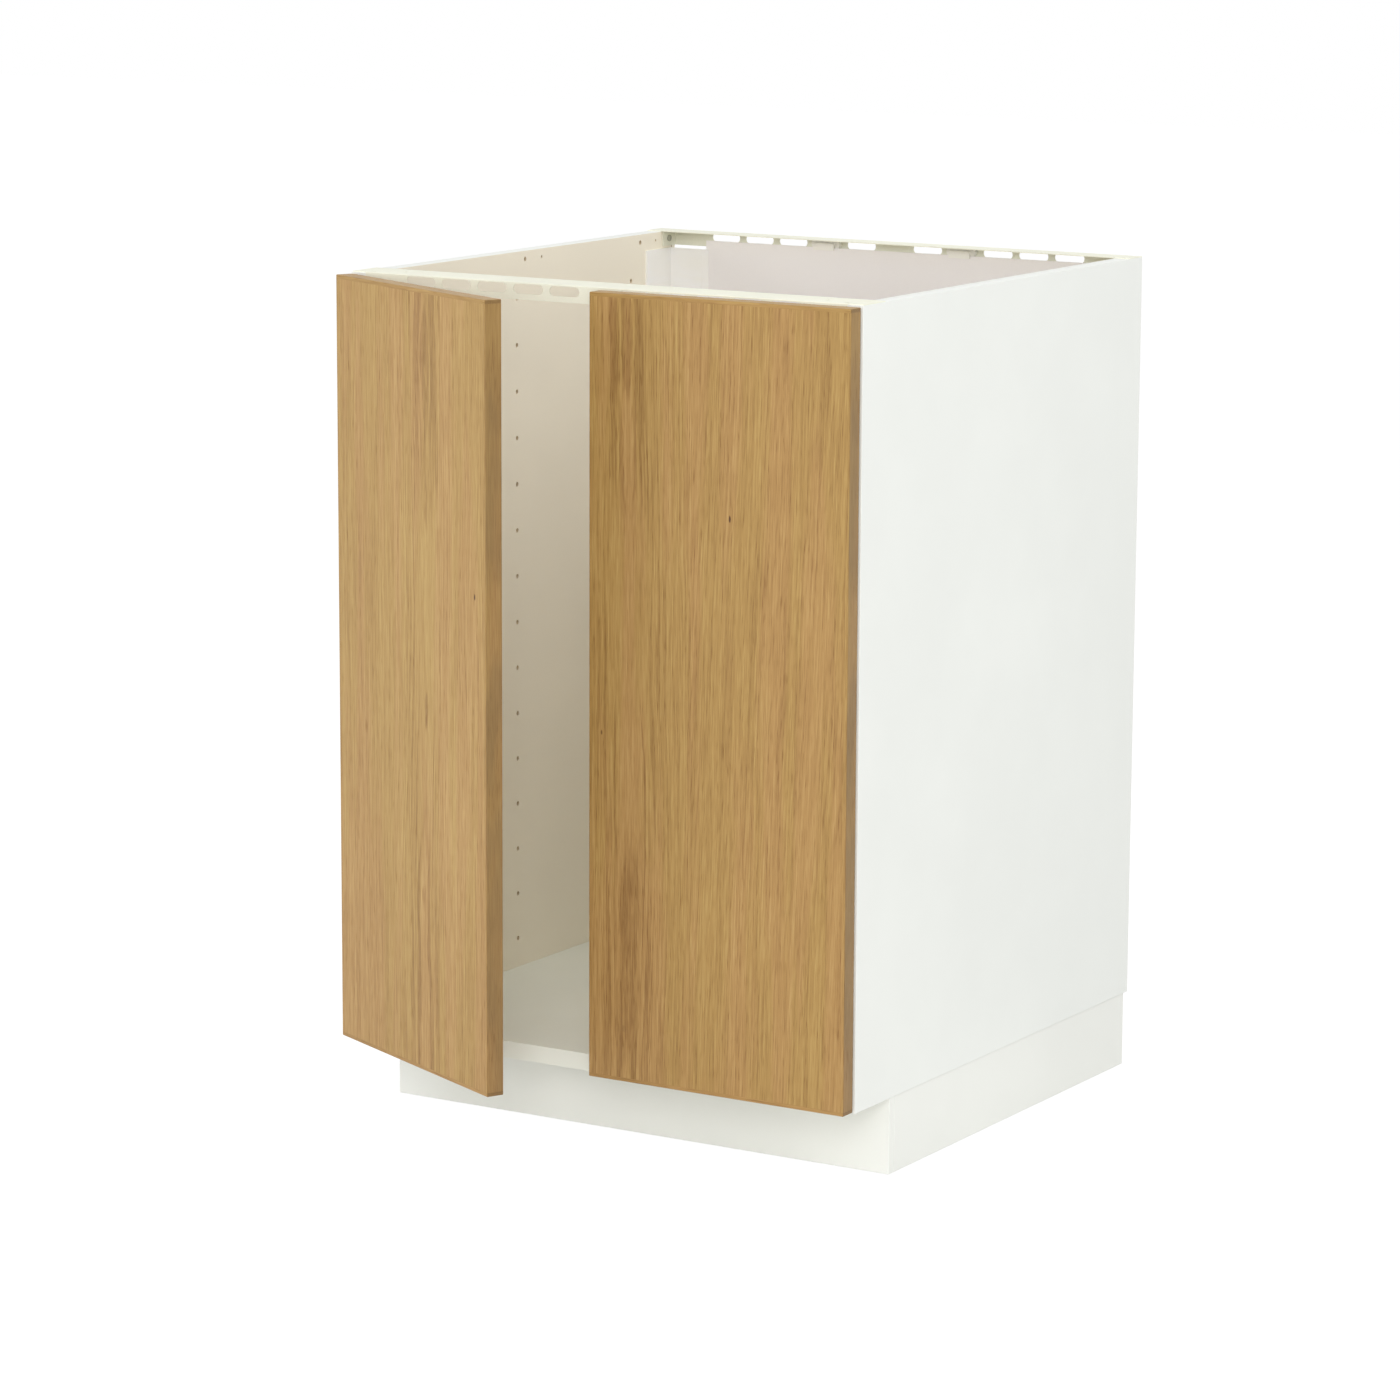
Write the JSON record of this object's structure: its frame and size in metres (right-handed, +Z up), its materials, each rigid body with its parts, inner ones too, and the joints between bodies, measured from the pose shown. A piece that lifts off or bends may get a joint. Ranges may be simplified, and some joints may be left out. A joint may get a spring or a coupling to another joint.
{
  "type": "sink base cabinet",
  "caption": "Open-topped kitchen base cabinet for a sink, with slotted steel rails front and back, a plinth, levelling feet and hinged oak-veneered doors.",
  "frame": {"origin": "centre of the carcass's 600 by 600 mm footprint, on the floor", "axes": "+Z up, the doors face -Y, +X to the right seen from the front"},
  "size_m": [0.6062, 0.7457, 0.881],
  "materials": {
    "white_board": "chipboard faced with white melamine foil, fine pearl texture",
    "back_board": "thin hardboard painted off-white",
    "strip_plastic": "folded white polymer strip, satin",
    "rail_steel": "sheet steel, white powder coat",
    "clip_plastic": "moulded white plastic",
    "screw_steel": "zinc-plated steel",
    "beech": "fluted beech",
    "zinc": "die-cast zinc alloy",
    "plinth_board": "board faced with white foil, satin",
    "leg_plastic": "moulded black plastic",
    "hinge_steel": "nickel-plated pressed steel",
    "pin_steel": "plain steel pin",
    "oak_veneer": "clear-lacquered oak veneer, grain upright",
    "oak_edging": "clear-lacquered solid oak strip",
    "bumper_clear": "soft clear polymer dot"
  },
  "bodies": {
    "carcass": {"side_panel_left": "white_board", "side_panel_right": "white_board", "bottom_panel": "white_board", "back_panel": "back_board", "back_strip_left": "strip_plastic", "back_strip_right": "strip_plastic", "front_rail": "rail_steel", "rear_rail": "rail_steel", "rail_screws": "screw_steel", "back_panel_clips": "clip_plastic", "back_panel_nails": "screw_steel", "frame_dowels": "beech", "cam_bolts": "screw_steel", "cam_locks": "zinc", "plinth_front": "plinth_board", "plinth_side_left": "plinth_board", "plinth_side_right": "plinth_board", "plinth_clips": "leg_plastic", "leg_sockets": "leg_plastic", "leg_screws": "screw_steel", "hinge_plates_left": "hinge_steel", "hinge_plates_right": "hinge_steel", "hinge_plate_screws_left": "screw_steel", "hinge_plate_screws_right": "screw_steel", "hinge_arms_left": "hinge_steel", "hinge_arms_right": "hinge_steel", "hinge_arm_screws_left": "screw_steel", "hinge_arm_screws_right": "screw_steel", "arm_pins_left": "pin_steel", "arm_pins_right": "pin_steel"},
    "door_left": {"door_left_panel": "oak_veneer", "door_left_edging": "oak_edging", "hinge_cups_left": "hinge_steel", "cup_screws_left": "screw_steel", "cup_pins_left": "pin_steel", "door_bumpers_left": "bumper_clear"},
    "door_right": {"door_right_panel": "oak_veneer", "door_right_edging": "oak_edging", "hinge_cups_right": "hinge_steel", "cup_screws_right": "screw_steel", "cup_pins_right": "pin_steel", "door_bumpers_right": "bumper_clear"},
    "outer_links_left": {"outer_links_left": "hinge_steel"},
    "outer_links_right": {"outer_links_right": "hinge_steel"},
    "inner_links_left": {"inner_links_left": "hinge_steel"},
    "inner_links_right": {"inner_links_right": "hinge_steel"},
    "foot_front_left": {"levelling_foot_front_left": "leg_plastic"},
    "foot_front_right": {"levelling_foot_front_right": "leg_plastic"},
    "foot_rear_left": {"levelling_foot_rear_left": "leg_plastic"},
    "foot_rear_right": {"levelling_foot_rear_right": "leg_plastic"}
  },
  "joints": [
    {"name": "outer_links_left_turn", "type": "hinge", "parent": "carcass", "child": "outer_links_left", "pos_m": [-0.2638, -0.3111, 0.48], "axis": [0, 0, 1], "range_deg": [-12.31, 39.09]},
    {"name": "door_left_swing", "type": "hinge", "parent": "outer_links_left", "child": "door_left", "pos_m": [-0.28588, -0.307, 0.48], "axis": [0, 0, -1], "range_deg": [-37.89, 120.47]},
    {"name": "inner_links_left_turn", "type": "hinge", "parent": "carcass", "child": "inner_links_left", "pos_m": [-0.2766, -0.3108, 0.48], "axis": [0, 0, 1], "range_deg": [-17.43, 55.37]},
    {"name": "outer_links_right_turn", "type": "hinge", "parent": "carcass", "child": "outer_links_right", "pos_m": [0.2638, -0.3111, 0.48], "axis": [0, 0, -1], "range_deg": [0, 51.38]},
    {"name": "door_right_swing", "type": "hinge", "parent": "outer_links_right", "child": "door_right", "pos_m": [0.2845, -0.3024, 0.48], "axis": [0, 0, 1], "range_deg": [0, 158.36]},
    {"name": "inner_links_right_turn", "type": "hinge", "parent": "carcass", "child": "inner_links_right", "pos_m": [0.2766, -0.3108, 0.48], "axis": [0, 0, -1], "range_deg": [0, 72.78]},
    {"name": "foot_front_left_height", "type": "slide", "parent": "carcass", "child": "foot_front_left", "axis": [0, 0, -1], "range_m": [0, 0.02]},
    {"name": "foot_front_right_height", "type": "slide", "parent": "carcass", "child": "foot_front_right", "axis": [0, 0, -1], "range_m": [0, 0.02]},
    {"name": "foot_rear_left_height", "type": "slide", "parent": "carcass", "child": "foot_rear_left", "axis": [0, 0, -1], "range_m": [0, 0.02]},
    {"name": "foot_rear_right_height", "type": "slide", "parent": "carcass", "child": "foot_rear_right", "axis": [0, 0, -1], "range_m": [0, 0.02]}
  ],
  "couplings": [
    {"joint": "outer_links_left_turn", "follows": "door_left_swing", "ratio": 0.32432},
    {"joint": "inner_links_left_turn", "follows": "door_left_swing", "ratio": 0.45946},
    {"joint": "outer_links_right_turn", "follows": "door_right_swing", "ratio": 0.32432},
    {"joint": "inner_links_right_turn", "follows": "door_right_swing", "ratio": 0.45946}
  ]
}
